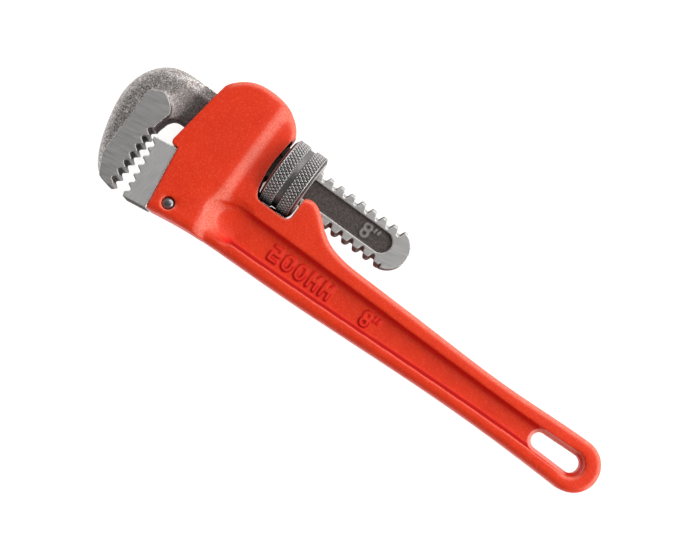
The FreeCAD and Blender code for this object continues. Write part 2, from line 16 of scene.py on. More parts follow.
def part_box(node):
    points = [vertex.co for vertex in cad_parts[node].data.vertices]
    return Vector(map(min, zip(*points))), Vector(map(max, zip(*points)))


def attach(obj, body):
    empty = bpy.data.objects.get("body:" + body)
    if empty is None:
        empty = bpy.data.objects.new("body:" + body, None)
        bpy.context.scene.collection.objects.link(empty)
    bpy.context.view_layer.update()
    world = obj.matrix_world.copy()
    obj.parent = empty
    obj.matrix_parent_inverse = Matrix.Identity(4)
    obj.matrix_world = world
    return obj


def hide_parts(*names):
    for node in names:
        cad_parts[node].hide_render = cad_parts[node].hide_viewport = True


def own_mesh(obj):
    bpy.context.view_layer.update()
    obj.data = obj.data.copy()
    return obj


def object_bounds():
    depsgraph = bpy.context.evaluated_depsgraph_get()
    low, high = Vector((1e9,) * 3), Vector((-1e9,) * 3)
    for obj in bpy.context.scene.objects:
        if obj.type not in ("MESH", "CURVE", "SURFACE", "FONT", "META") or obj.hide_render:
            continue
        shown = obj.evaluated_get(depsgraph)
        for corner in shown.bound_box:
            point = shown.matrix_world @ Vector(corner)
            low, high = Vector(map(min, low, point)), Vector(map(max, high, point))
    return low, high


MM = 0.001

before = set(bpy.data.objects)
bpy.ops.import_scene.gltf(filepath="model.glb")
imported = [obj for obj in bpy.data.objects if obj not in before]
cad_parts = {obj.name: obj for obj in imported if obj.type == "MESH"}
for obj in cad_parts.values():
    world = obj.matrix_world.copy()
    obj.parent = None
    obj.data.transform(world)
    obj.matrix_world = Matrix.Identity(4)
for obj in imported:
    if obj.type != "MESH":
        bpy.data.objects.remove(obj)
cad_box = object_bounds()

LOW, HIGH = (np.array(corner) / MM for corner in cad_box)
MID_Z = (LOW[2] + HIGH[2]) / 2
RANGE_SOCKETS = ("From Min", "From Max", "To Min", "To Max")    # of a Map Range node


def node_box(name):
    """Lowest and highest corner of a CAD node, in millimetres."""
    return tuple(np.array(corner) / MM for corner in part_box(name))


# ---- Camera, table and light ----------------------------------------------------------------

VIEW_TURN = math.radians(35.9)      # the handle slopes down to the right by this much
VIEW_WIDTH = 229.7                  # mm across the picture, at the wrench's middle plane
VIEW_DISTANCE = 560.0
VIEW_LEAN = math.radians(-4.0)      # the camera stands this much towards the handle's back
VIEW_AIM = (-3.6, -6.37)            # what the picture's centre shows, from the wrench's middle


def add_camera():
    data = bpy.data.cameras.new("camera")
    data.sensor_width = 36.0
    data.lens = data.sensor_width * VIEW_DISTANCE / VIEW_WIDTH
    data.clip_start = 0.01
    data.clip_end = 20.0
    camera = bpy.data.objects.new("camera", data)
    bpy.context.collection.objects.link(camera)
    middle = (LOW + HIGH) / 2
    aim = Vector((middle[0] + VIEW_AIM[0], middle[1] + VIEW_AIM[1], MID_Z))
    toward = Vector((0.0, math.sin(VIEW_LEAN), math.cos(VIEW_LEAN)))
    upward = Vector((-math.sin(VIEW_TURN), math.cos(VIEW_TURN), 0.0))
    side = upward.cross(toward).normalized()
    camera.location = (aim + toward * VIEW_DISTANCE) * MM
    camera.rotation_euler = Matrix((side, toward.cross(side), toward)).transposed().to_euler()
    bpy.context.scene.camera = camera


def add_softbox(name, azimuth, elevation, distance, size, watts):
    """A square area light that looks at the wrench. Azimuth 0 is the +X side, 90 the +Y side."""
    data = bpy.data.lights.new(name, "AREA")
    data.shape = "SQUARE"
    data.size = size
    data.energy = watts
    light = bpy.data.objects.new(name, data)
    bpy.context.collection.objects.link(light)
    a, e = math.radians(azimuth), math.radians(elevation)
    place = Vector((math.cos(a) * math.cos(e), math.sin(a) * math.cos(e), math.sin(e))) * distance
    light.location = place
    light.rotation_euler = (-place).to_track_quat("-Z", "Y").to_euler()


def add_table():
    """A plain white table that glows evenly; ambient occlusion dims the glow in narrow gaps, a
    painted shade. Its top is a hair under the wrench.
    """
    size, top = 4.0, -0.0002
    mesh = bpy.data.meshes.new("table")
    corners = [(-size, -size), (size, -size), (size, size), (-size, size)]
    mesh.from_pydata([(x, y, top) for x, y in corners], [], [(0, 1, 2, 3)])
    table = bpy.data.objects.new("table", mesh)
    bpy.context.collection.objects.link(table)
    material = bpy.data.materials.new("table_white")
    material.use_nodes = True
    nodes, links = material.node_tree.nodes, material.node_tree.links
    shader = nodes["Principled BSDF"]
    shader.inputs["Base Color"].default_value = (0.30, 0.30, 0.30, 1.0)
    shader.inputs["Roughness"].default_value = 0.9
    shader.inputs["Specular IOR Level"].default_value = 0.1
    shader.inputs["Emission Color"].default_value = (1.0, 1.0, 1.0, 1.0)
    # painted shade: the table's glow falls off where ambient occlusion is high
    openness = nodes.new("ShaderNodeAmbientOcclusion")
    openness.inputs["Distance"].default_value = 12 * MM
    shade = nodes.new("ShaderNodeMapRange")
    for socket, value in zip(RANGE_SOCKETS, (0.12, 0.27, 0.02, 0.93)):
        shade.inputs[socket].default_value = value
    links.new(openness.outputs["AO"], shade.inputs["Value"])
    links.new(shade.outputs[0], shader.inputs["Emission Strength"])
    mesh.materials.append(material)


def add_world():
    """A studio that is bright on the shank's side, dim behind the handle's back and overhead."""
    world = bpy.data.worlds.new("studio")
    world.use_nodes = True
    nodes, links = world.node_tree.nodes, world.node_tree.links
    split = nodes.new("ShaderNodeSeparateXYZ")
    links.new(nodes.new("ShaderNodeTexCoord").outputs["Generated"], split.inputs[0])

    def ramp(axis, low, high, dark, light):
        made = nodes.new("ShaderNodeMapRange")
        made.interpolation_type = "SMOOTHSTEP"
        links.new(split.outputs[axis], made.inputs["Value"])
        for socket, value in zip(RANGE_SOCKETS, (low, high, dark, light)):
            made.inputs[socket].default_value = value
        return made.outputs[0]

    product = nodes.new("ShaderNodeMath")
    product.operation = "MULTIPLY"
    links.new(ramp("Y", -0.6, 0.7, 0.46, 1.06), product.inputs[0])
    links.new(ramp("Z", 0.25, 0.95, 1.02, 0.27), product.inputs[1])
    links.new(product.outputs[0], nodes["Background"].inputs["Strength"])
    nodes["Background"].inputs["Color"].default_value = (1.0, 1.0, 1.0, 1.0)
    bpy.context.scene.world = world


add_camera()
add_table()
add_world()
add_softbox("softbox_shank_side", 75, 40, 1.0, 0.9, 6)
add_softbox("softbox_handle_end", 10, 34, 1.0, 0.6, 6)
bpy.context.scene.view_settings.view_transform = "Standard"


# ---- Mesh helpers, all in millimetres until make_piece --------------------------------------

class Surface:
    """Points and faces of one mesh, with what the relaxing and the masks need."""

    def __init__(self, points, faces):
        self.points = points
        self.faces = faces
        sides = []
        for width in (3, 4):
            group = np.array([f for f in faces if len(f) == width], dtype=np.int64)
            if len(group):
                sides += [group[:, [i, (i + 1) % width]] for i in range(width)]
        edges = np.concatenate(sides)
        edges.sort(axis=1)
        self.edges = np.unique(edges, axis=0)
        self.count = np.bincount(self.edges.ravel(), minlength=len(points))[:, None]

    def around(self, values):
        """Each point's mean of its neighbours' values."""
        a, b = self.edges.T
        total = np.zeros_like(values)
        for column in range(values.shape[1]):
            total[:, column] = np.bincount(a, values[b, column], len(values))
            total[:, column] += np.bincount(b, values[a, column], len(values))
        return total / self.count

    def relax(self, rounds):
        """Smooths without shrinking: one step in, one slightly larger step out."""
        for _ in range(rounds):
            for step in (0.55, -0.57):
                self.points += step * (self.around(self.points) - self.points)

    def soften(self, rounds, weight=1.0):
        """Smooths and lets edges round off."""
        weight = np.asarray(weight, dtype=float).reshape(-1, 1)
        for _ in range(rounds):
            self.points += weight * 0.5 * (self.around(self.points) - self.points)

    def settle(self, rounds, weight):
        """Smooths only the height, so that the outline seen from above stays."""
        for _ in range(rounds):
            height = self.points[:, 2:]
            height += weight.reshape(-1, 1) * 0.5 * (self.around(height) - height)

    def grown(self, values, rounds):
        """The values, blurred and raised again, so that a patch of ones reaches further out."""
        return smoothstep(0.12, 0.42, self.spread(values, rounds))

    def spread(self, values, rounds):
        """The values, blurred over the surface."""
        values = values.reshape(-1, 1).astype(float)
        for _ in range(rounds):
            values = values + 0.5 * (self.around(values) - values)
        return values[:, 0]

    def normals(self):
        normals = np.zeros_like(self.points)
        for width in (3, 4):
            group = np.array([f for f in self.faces if len(f) == width], dtype=np.int64)
            if not len(group):
                continue
            p = self.points[group]
            across = np.cross(p[:, 2] - p[:, 0], p[:, 3 % width] - p[:, 1])
            for corner in range(width):
                for axis in range(3):
                    normals[:, axis] += np.bincount(group[:, corner], across[:, axis], len(normals))
        return normals / np.maximum(np.linalg.norm(normals, axis=1, keepdims=True), 1e-12)


def remeshed(node, voxel):
    """A Surface of even quads over a CAD node."""
    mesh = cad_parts[node].data.copy()
    mesh.transform(Matrix.Scale(1 / MM, 4))
    work = bmesh.new()
    work.from_mesh(mesh)
    bmesh.ops.remove_doubles(work, verts=work.verts, dist=1e-3)
    work.to_mesh(mesh)
    work.free()
    helper = bpy.data.objects.new("helper", mesh)
    bpy.context.collection.objects.link(helper)
    modifier = helper.modifiers.new("remesh", "REMESH")
    modifier.mode = "VOXEL"
    modifier.voxel_size = voxel
    modifier.adaptivity = 0.0
    bpy.context.view_layer.update()
    result = helper.evaluated_get(bpy.context.evaluated_depsgraph_get()).to_mesh()
    points = np.empty(len(result.vertices) * 3)
    result.vertices.foreach_get("co", points)
    faces = [tuple(face.vertices) for face in result.polygons]
    helper.to_mesh_clear()
    bpy.data.objects.remove(helper)
    bpy.data.meshes.remove(mesh)
    return Surface(points.reshape(-1, 3), faces)


def make_piece(name, surface, body, node, materials, masks=None, second=None):
    """A shown piece that stands for a CAD node, in metres, with its masks as colour attributes.
    Faces whose points have second over one half take the second material."""
    mesh = bpy.data.meshes.new(name)
    mesh.from_pydata(surface.points * MM, [], surface.faces)
    for mask, values in (masks or {}).items():
        layer = mesh.attributes.new(mask, "FLOAT_COLOR", "POINT")
        colours = np.repeat(values[:, None], 4, axis=1)
        colours[:, 3] = 1.0
        layer.data.foreach_set("color", colours.ravel())
    for material in materials:
        mesh.materials.append(material)
    mesh.polygons.foreach_set("use_smooth", [True] * len(mesh.polygons))
    if second is not None:
        chosen = [int(second[list(face)].min() > 0.5) for face in surface.faces]
        mesh.polygons.foreach_set("material_index", chosen)
    mesh.update()
    piece = bpy.data.objects.new(name, mesh)
    bpy.context.collection.objects.link(piece)
    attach(piece, body)
    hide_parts(node)
    return piece


def ring(i, j, count):
    """Quads between rows i and j of a turned mesh that has count points in each row."""
    following = [(k, (k + 1) % count) for k in range(count)]
    return [(i * count + k, i * count + m, j * count + m, j * count + k) for k, m in following]


def smoothstep(low, high, x):
    """0 at low, 1 at high, eased at both ends. Low may be the larger one."""
    t = np.clip((x - low) / (high - low), 0.0, 1.0)
    return t * t * (3 - 2 * t)


# ---- Materials ------------------------------------------------------------------------------

class Shading:
    """A small builder of node materials. Lengths in it are millimetres."""

    def __init__(self, name):
        self.material = bpy.data.materials.new(name)
        self.material.use_nodes = True
        self.nodes = self.material.node_tree.nodes
        self.links = self.material.node_tree.links
        self.shader = self.nodes["Principled BSDF"]
        self.object = self.nodes.new("ShaderNodeTexCoord").outputs["Object"]

    def put(self, **values):
        for socket, value in values.items():
            self.shader.inputs[socket.replace("_", " ")].default_value = value

    def feed(self, socket, output):
        self.links.new(output, self.shader.inputs[socket])

    def node(self, kind, inputs=(), **settings):
        made = self.nodes.new(kind)
        for key, value in settings.items():
            setattr(made, key, value)
        for key, value in dict(inputs).items():
            if isinstance(value, bpy.types.NodeSocket):
                self.links.new(value, made.inputs[key])
            else:
                made.inputs[key].default_value = value
        return made

    def stretched(self, sx, sy, sz, turn=0.0):
        """Object coordinates scaled per axis, turned first about Z."""
        turned = self.node("ShaderNodeMapping", {"Vector": self.object, "Rotation": (0, 0, turn)})
        return self.node("ShaderNodeMapping", {
            "Vector": turned.outputs[0], "Scale": (sx, sy, sz)}).outputs[0]

    def noise(self, size, detail=4.0, roughness=0.55, vector=None):
        """Noise whose features are about size millimetres wide."""
        return self.node("ShaderNodeTexNoise", {
            "Vector": vector or self.object, "Scale": 1.0 / (size * MM), "Detail": detail,
            "Roughness": roughness}).outputs["Fac"]

    def attribute(self, name):
        return self.node("ShaderNodeAttribute", attribute_name=name).outputs["Fac"]

    def ramp(self, value, low, high, out_low=0.0, out_high=1.0):
        """The value from low to high, carried smoothly over to out_low to out_high."""
        inputs = dict(zip(RANGE_SOCKETS, (low, high, out_low, out_high)), Value=value)
        return self.node("ShaderNodeMapRange", inputs, interpolation_type="SMOOTHSTEP").outputs[0]

    def mix(self, share, a, b):
        """Colours or numbers a and b, mixed by share."""
        made = self.nodes.new("ShaderNodeMix")
        made.data_type = "RGBA" if self.is_colour(a) or self.is_colour(b) else "FLOAT"
        sockets = {s.name: s for s in made.inputs if s.enabled}
        for name, value in (("Factor", share), ("A", a), ("B", b)):
            if isinstance(value, bpy.types.NodeSocket):
                self.links.new(value, sockets[name])
            elif self.is_colour(value):
                sockets[name].default_value = (*value, 1.0)
            else:
                sockets[name].default_value = value
        return [s for s in made.outputs if s.enabled][0]

    @staticmethod
    def is_colour(value):
        return isinstance(value, tuple) or getattr(value, "type", "") == "RGBA"

    def math(self, operation, a, b=0.0):
        return self.node("ShaderNodeMath", {0: a, 1: b}, operation=operation).outputs[0]

    def bumps(self, *layers):
        """Bump layers, each (height, depth in millimetres, strength)."""
        normal = None
        for height, depth, strength in layers:
            inputs = {"Height": height, "Distance": depth * MM, "Strength": strength}
            if normal:
                inputs["Normal"] = normal
            normal = self.node("ShaderNodeBump", inputs).outputs[0]
        self.feed("Normal", normal)


def red_paint():
    """Sprayed paint with a fine orange peel. Painted highlights on rounded edges that face the
    lamps, paler ridges and hanging-hole rim (partly worn thin paint, partly painted highlight), and
    painted shade in the recess's corners and the hole.
    """
    s = Shading("red_paint")
    masks = ("edge", "lip_wear_and_highlight", "groove", "painted_highlight", "hole_shade")
    edge, lip_wear_and_highlight, groove, painted_highlight, hole_shade = (s.attribute(name) for name in masks)
    patches = s.noise(9.0)
    grain = s.noise(0.5, detail=3.0)
    colour = s.mix(s.ramp(patches, 0.35, 0.65), (0.765, 0.032, 0.003), (0.72, 0.027, 0.0025))
    colour = s.mix(s.ramp(grain, 0.50, 0.70, 0.0, 0.55), colour, (0.88, 0.090, 0.025))
    # painted highlight: rounded edges on the lamps' side are mixed toward pale pink, grainy
    pale = s.math("MULTIPLY", painted_highlight, s.ramp(grain, 0.35, 0.65, 0.30, 0.72))
    colour = s.mix(pale, colour, (0.90, 0.25, 0.17))
    # paler on ridges: partly worn thin paint, partly a painted highlight
    colour = s.mix(s.math("MULTIPLY", edge, 0.25), colour, (0.88, 0.20, 0.13))
    # painted shade: the recess's corners darker and deeper red
    colour = s.mix(s.ramp(groove, 0.0, 0.5), colour, (0.74, 0.010, 0.001))
    colour = s.mix(s.ramp(groove, 0.5, 1.0), colour, (0.40, 0.003, 0.001))
    # paler ring round the hanging hole: partly worn paint, partly a painted highlight
    colour = s.mix(s.math("MULTIPLY", lip_wear_and_highlight, 0.80), colour, (0.86, 0.34, 0.28))
    # painted shade on the hanging hole's lower inner walls
    colour = s.mix(hole_shade, colour, (0.10, 0.015, 0.008))
    s.feed("Base Color", colour)
    rough = s.ramp(s.noise(2.2), 0.3, 0.7, 0.42, 0.54)
    s.feed("Roughness", s.mix(s.math("MAXIMUM", groove, hole_shade), rough, 0.95))
    s.put(Specular_IOR_Level=0.34)
    s.bumps((s.noise(3.5, detail=2.0), 0.05, 0.7), (s.noise(0.8, detail=3.0), 0.07, 0.9),
            (grain, 0.030, 0.8))
    return s.material


def slot_painted_shade():
    """The nut slot's walls, near black and without gloss: painted shade."""
    s = Shading("slot_painted_shade")
    s.feed("Base Color", s.mix(s.noise(0.8), (0.010, 0.009, 0.009), (0.030, 0.025, 0.023)))
    s.put(Roughness=0.95, Specular_IOR_Level=0.0)
    return s.material


def hook_steel():
    """Forged skin, with ground faces where mask ground is 1. Mask dark makes it near black: oxide
    on the shank's recessed panel, painted shade in the gullets, the throat and on the teeth's
    flanks and undersides, and dark on the thread that lies inside the housing at rest. Mask shade
    is painted shade near the housing.
    """
    s = Shading("hook_steel")
    ground, dark, shade, wear = (s.attribute(name) for name in ("ground", "dark", "shade", "wear"))
    mottle = s.noise(0.8, detail=6.0, roughness=0.75)
    fine = s.noise(0.42, detail=3.0, roughness=0.7)
    rust = s.noise(3.5, detail=5.0)
    forged = s.mix(s.ramp(mottle, 0.36, 0.62), (0.15, 0.128, 0.120), (0.50, 0.465, 0.445))
    forged = s.mix(s.ramp(rust, 0.50, 0.68, 0.0, 0.35), forged, (0.25, 0.185, 0.16))
    forged = s.mix(s.ramp(fine, 0.52, 0.64, 0.0, 0.90), forged, (0.95, 0.92, 0.90))
    forged = s.mix(s.math("MULTIPLY", shade, 0.75), forged, (0.065, 0.050, 0.046))
    lines = s.noise(0.34, detail=5.0, vector=s.stretched(0.05, 1.0, 1.0, turn=math.radians(-12)))
    bright = s.mix(s.ramp(lines, 0.3, 0.7), (0.48, 0.47, 0.455), (0.55, 0.54, 0.525))
    bright = s.mix(s.ramp(fine, 0.35, 0.65, 0.0, 0.25), bright, (0.42, 0.405, 0.39))
    black = s.mix(s.ramp(mottle, 0.3, 0.7), (0.034, 0.026, 0.024), (0.095, 0.076, 0.070))
    colour = s.mix(ground, forged, bright)
    # near black: oxide on the panel, painted shade in gullets, throat, flanks and undersides
    colour = s.mix(dark, colour, black)
    colour = s.mix(s.math("MULTIPLY", wear, 0.7), colour, (0.78, 0.76, 0.74))
    s.feed("Base Color", colour)
    rough = s.mix(ground, s.ramp(fine, 0.3, 0.7, 0.30, 0.48), s.ramp(lines, 0.3, 0.7, 0.38, 0.48))
    s.feed("Roughness", s.mix(dark, rough, 0.85))
    s.feed("Metallic", s.mix(dark, 0.9, 0.0))
    skin = s.mix(ground, s.noise(0.55, detail=6.0, roughness=0.68), 0.5)
    cut = s.mix(ground, 0.5, lines)
    s.bumps((skin, 0.11, 0.9), (cut, 0.006, 0.5))
    return s.material


def ground_steel():
    """Fine grinding lines, bright on worn edges, and painted shade, dark and matt, on faces turned
    towards -Y where mask rear is 1.
    """
    s = Shading("ground_steel")
    lines = s.noise(0.30, detail=5.0, vector=s.stretched(1.0, 0.06, 1.0, turn=math.radians(8)))
    grain = s.noise(0.45, detail=4.0)
    wear, rear_shade = s.attribute("wear"), s.attribute("rear_shade")
    colour = s.mix(s.ramp(lines, 0.3, 0.7), (0.74, 0.73, 0.72), (0.80, 0.79, 0.78))
    colour = s.mix(s.ramp(grain, 0.4, 0.7, 0.0, 0.25), colour, (0.66, 0.65, 0.63))
    colour = s.mix(s.math("MULTIPLY", wear, 0.8), colour, (0.90, 0.89, 0.87))
    s.feed("Base Color", s.mix(rear_shade, colour, (0.10, 0.085, 0.078)))
    s.feed("Roughness", s.mix(rear_shade, s.ramp(lines, 0.3, 0.7, 0.38, 0.46), 0.85))
    s.put(Metallic=0.95)
    s.bumps((lines, 0.005, 0.5), (grain, 0.004, 0.5))
    return s.material


def nut_steel():
    """Dark steel, bright on worn crests, with painted shade where mask deep is 1: the knurl's
    grooves, the waist, the end faces and the bore.
    """
    s = Shading("nut_steel")
    deep_shade, wear = s.attribute("deep_shade"), s.attribute("wear")
    fine = s.noise(0.5, detail=5.0)
    colour = s.mix(s.ramp(fine, 0.3, 0.7), (0.24, 0.225, 0.22), (0.33, 0.32, 0.315))
    colour = s.mix(deep_shade, colour, (0.045, 0.040, 0.038))
    colour = s.mix(wear, colour, (0.66, 0.64, 0.63))
    s.feed("Base Color", colour)
    s.feed("Roughness", s.mix(deep_shade, s.ramp(fine, 0.3, 0.7, 0.32, 0.44), 0.6))
    s.put(Metallic=0.9)
    s.bumps((fine, 0.010, 0.5))
    return s.material


def dark_steel(name, low, high, roughness):
    """Oxidised or tempered steel, from colour low to colour high."""
    s = Shading(name)
    mottle = s.noise(0.8, detail=5.0)
    s.feed("Base Color", s.mix(s.ramp(mottle, 0.3, 0.7), low, high))
    s.feed("Roughness", s.ramp(s.noise(0.4), 0.3, 0.7, roughness, roughness + 0.15))
    s.put(Metallic=0.9)
    s.bumps((mottle, 0.015, 0.6))
    return s.material


# ---- Handle ---------------------------------------------------------------------------------

FRONT_X = -73.0                     # the casting's edges are cut in front of this, soft behind it
STEP_X = -52.8                      # middle of the slope from the housing down to the beam
RECESS_Y = (-20.2, -8.1)            # the recess in the handle's side
RECESS_END_X = -52.0
MARKS = ((-31.0, -4.0), (5.0, 15.0))    # where the raised figures stand, along X
HOLE = ((77.3, -12.77, 2.8), (90.0, -12.67, 3.15))      # x, y and radius of the hanging hole's ends
SLOT_X, SLOT_Y = (-48.5, -33.0), (-5.2, 19.0)   # the nut's slot, whose walls are painted near black as shade
FLOOR_X = (-44.6, -31.6)            # the part of the slot's floor that lies under the nut
ROCK_ROOM = 0.45                    # more room under the nut, for when it rocks
WAIST_RISE = 0.6                    # the floor's rise towards the groove round the nut
HANDLE_VOXEL = 0.315                # size of the remeshed quads


def between(value, low, high, soft):
    """1 from low to high, falling to 0 over a distance soft on both sides."""
    return smoothstep(low - soft, low, value) * smoothstep(high + soft, high, value)


def from_hole(x, y):
    """Distance from the edge of the hanging hole."""
    (ax, ay, ar), (bx, by, br) = HOLE
    dx, dy = bx - ax, by - ay
    share = np.clip(((x - ax) * dx + (y - ay) * dy) / (dx ** 2 + dy ** 2), 0, 1)
    return np.hypot(x - ax - share * dx, y - ay - share * dy) - (ar + share * (br - ar))


def bulge(surface):
    """How far each point stands out from its neighbours: positive on ridges, negative in dips."""
    out = ((surface.points - surface.around(surface.points)) * surface.normals()).sum(axis=1)
    return surface.spread(out, 1)


def handle_masks(surface, outside, scoop):
    """Where the paint is paler on ridges and round the hanging hole (partly worn thin paint, partly
    painted highlight), painted highlight on rounded edges that face the lamps, painted shade in the
    recess's corners and low in the hanging hole, and the slot's walls, which get near-black painted
    shade.
    """
    x, y, z = surface.points.T
    normals = surface.normals()
    facing = np.abs(normals[:, 2])
    lower = np.interp(x, (-45.0, 0.0, 60.0), (-21.6, -20.5, -18.6))
    recess = smoothstep(lower - 0.3, lower, y) * smoothstep(-7.6, -8.0, y)
    recess *= smoothstep(5.9, 5.6, np.abs(z - MID_Z))
    ends = smoothstep(-51.0, -46.0, x) * smoothstep(90.0, 80.0, x)
    recess *= ends * smoothstep(0.9, 1.5, outside)
    in_hole = smoothstep(1.3, 0.9, outside) * smoothstep(0.65, 0.40, facing)
    deep_shade = in_hole * smoothstep(0.4, 1.6, MID_Z - z)
    # painted shade in the recess's corners, half as strong on the upper wall
    groove = recess * smoothstep(0.992, 0.94, facing) * (1 - scoop) * np.where(y > -14.0, 0.5, 1.0)
    # painted highlight: rounded edges turned towards the lamps, gated by lit_side below
    round_edge = smoothstep(0.99, 0.90, facing) * (1 - recess) * smoothstep(0.9, 1.5, outside)
    lit_side = smoothstep(-0.30, 0.10, normals[:, 1] + 0.5 * np.maximum(normals[:, 0], 0.0))
    slot = between(x, *SLOT_X, 0.3) * between(y, *SLOT_Y, 0.3) * smoothstep(0.80, 0.60, facing)
    behind = smoothstep(FRONT_X + 0.5, FRONT_X + 2.0, x)
    masks = {
        # ridges: partly worn thin paint, partly painted highlight
        "edge": smoothstep(0.02, 0.06, bulge(surface)) * (1 - scoop) * (1 - recess),
        "groove": surface.spread(groove, 3),
        "painted_highlight": surface.spread(round_edge * lit_side, 3) * behind,
        # ring round the hanging hole: partly worn paint, partly painted highlight
        "lip_wear_and_highlight": (smoothstep(1.35, 1.0, outside) - deep_shade) * smoothstep(91.0, 89.0, x),
        # painted shade low inside the hanging hole
        "hole_shade": deep_shade * smoothstep(0.8, 0.5, -normals[:, 0]),
    }
    return masks, slot


def hollow_slot_floor(surface):
    """Below the middle plane the slot's floor follows the nut's round underside and its groove."""
    low, high = node_box("adjusting_nut")
    radius = (high[2] - low[2]) / 2
    x, y, z = surface.points.T
    drop = np.clip(MID_Z - z, 0.0, 0.95 * radius)
    near = between(x, *FLOOR_X, 0.8) * smoothstep(-7.2, -4.0, y) * smoothstep(0.5, -0.5, y)
    y += near * np.maximum(radius - np.sqrt(radius ** 2 - drop ** 2) - ROCK_ROOM, 0.0)
    middle = (low[0] + high[0]) / 2
    waist = between(x, middle - WAIST_HALF, middle + WAIST_HALF, 0.5)
    y += WAIST_RISE * near * waist * smoothstep(2.0, 4.5, drop)


def build_handle():
    surface = remeshed("handle", HANDLE_VOXEL)
    x, y, _ = surface.points.T
    marks = sum(between(x, low, high, 0.5) for low, high in MARKS) * between(y, -17.6, -10.5, 0.4)
    surface.relax(3)
    surface.soften(8, 1 - np.maximum(0.93 * marks, 0.8 * smoothstep(FRONT_X + 1.5, FRONT_X, x)))
    x, y, _ = surface.points.T
    facing = smoothstep(0.5, 0.85, np.abs(surface.normals()[:, 2]))
    slope = between(x, STEP_X - 4.5, STEP_X + 4.5, 4.0) * facing
    scoop = between(x, RECESS_END_X - 9.0, RECESS_END_X + 6.0, 5.0) * between(y, *RECESS_Y, 2.0)
    surface.settle(160, np.maximum(slope, scoop))
    surface.settle(300, scoop)
    x, y, z = surface.points.T
    outside = from_hole(x, y)
    end_face = smoothstep(84.0, 91.0, x) * smoothstep(5.0, 3.0, outside)
    surface.settle(50, end_face * smoothstep(0.2, 0.8, outside))
    rim = smoothstep(1.3, 0.1, outside)
    z -= np.sign(z - MID_Z) * 0.45 * rim * np.minimum(1.0, np.abs(z - MID_Z) / 1.5)
    hollow_slot_floor(surface)
    masks, slot = handle_masks(surface, outside, scoop)
    # faces on the slot's walls take the second material, a near-black painted shade
    make_piece("handle_casting", surface, "handle", "handle",
               [red_paint(), slot_painted_shade()], masks, slot)


# ---- Jaws -----------------------------------------------------------------------------------

THREAD_START_X = -58.0
HIDDEN_X = -44.0                    # at rest the thread in front of this is inside the housing
HOOK_TIP_X = -83.9
TOOTH_DEPTH = 1.5
PAD_TOP_Y = 7.0                     # upper end of the ground pad beside the teeth
SHANK_FACE, RECESS_FLOOR = 3.9, 3.0     # heights over the middle plane
HOOK_VOXEL, HEEL_VOXEL = 0.26, 0.2      # sizes of the remeshed quads


def build_hook_jaw():
    surface = remeshed("hook_jaw", HOOK_VOXEL)
    low, high = node_box("hook_jaw")
    pad_half = (high[2] - low[2]) / 2
    axis_y = sum(corner[1] for corner in node_box("adjusting_nut")) / 2
    surface.relax(3)
    surface.soften(1)
    x, y, z = surface.points.T
    facing = np.abs(surface.normals()[:, 2])
    pad = smoothstep(pad_half - 0.25, pad_half - 0.1, np.abs(z - MID_Z))
    pad *= smoothstep(0.7, 0.9, facing)
    beside = between(x, -97.0, -84.0, 2.0) * between(y, -20.0, PAD_TOP_Y + 4.0, 1.5)
    surface.settle(40, beside * smoothstep(0.5, 0.0, pad) * smoothstep(0.5, 0.8, facing))
    neck = between(x, -88.0, -76.5, 3.0) * between(y, -4.0, 15.0, 1.5)
    surface.settle(200, neck * smoothstep(0.3, 0.0, pad) * smoothstep(0.5, 0.8, facing))
    x, y, z = surface.points.T
    height = np.abs(z - MID_Z)
    normals = surface.normals()
    facing = np.abs(normals[:, 2])
    off_axis = np.abs(y - axis_y)
    thread = smoothstep(THREAD_START_X - 0.6, THREAD_START_X, x)
    rims = thread * smoothstep(0.80, 0.95, facing)
    rims *= smoothstep(SHANK_FACE - 0.4, SHANK_FACE - 0.2, height)
    toothed = thread * smoothstep(4.3, 4.7, off_axis)
    teeth = toothed * 0.75
    inside = thread * smoothstep(3.95, 3.65, off_axis) * smoothstep(1.2, 0.7, x)
    hidden = thread * smoothstep(HIDDEN_X + 1.0, HIDDEN_X - 0.5, x)
    panel = inside * smoothstep(SHANK_FACE - 0.2, SHANK_FACE - 0.5, height)
    figures = inside * smoothstep(RECESS_FLOOR + 0.2, RECESS_FLOOR + 0.4, height)
    figures *= smoothstep(2.8, 2.5, off_axis)
    flanks = toothed * smoothstep(-0.45, -0.7, normals[:, 0])
    underside = thread * smoothstep(-0.25, -0.5, normals[:, 1]) * smoothstep(0.0, -2.0, y - axis_y)
    walls = smoothstep(0.7, 0.4, facing) * between(x, -88.0, -76.0, 0.5)
    gullets = walls * smoothstep(HOOK_TIP_X - 0.1, HOOK_TIP_X - 0.7 * TOOTH_DEPTH, x)
    gullets *= smoothstep(-3.8, -4.8, y)
    throat = walls * smoothstep(-4.6, -3.6, y) * smoothstep(6.0, 4.0, y)
    shade = smoothstep(-92.0, -80.0, x) * (1 - thread) * smoothstep(14.5, 12.5, y)
    slashes = surface.grown(flanks * smoothstep(0.0, 1.0, y - axis_y), 7)
    slashes *= smoothstep(4.4, 4.9, off_axis)
    fringe = surface.grown(underside, 5) * (1 - inside)
    throat = surface.grown(throat, 9) * smoothstep(0.5, 0.2, pad)
    # panel is oxide; gullets, throat, slashes and fringe are painted shade
    dark = np.max([panel, gullets * 0.9, throat, slashes * 0.85, fringe * 0.9, hidden], axis=0)
    wear = smoothstep(0.025, 0.06, bulge(surface)) * (1 - throat)
    wear *= 1 - 0.6 * underside
    wear *= 1 - hidden
    masks = {
        "ground": surface.spread(np.max([pad, rims, teeth], axis=0), 1),
        "dark": surface.spread(dark, 1),
        "shade": shade,
        "wear": np.max([wear, figures * 0.25, rims * (1 - hidden) * 0.45], axis=0),
    }
    make_piece("hook_jaw_forging", surface, "hook_jaw", "hook_jaw",
               [hook_steel()], masks)


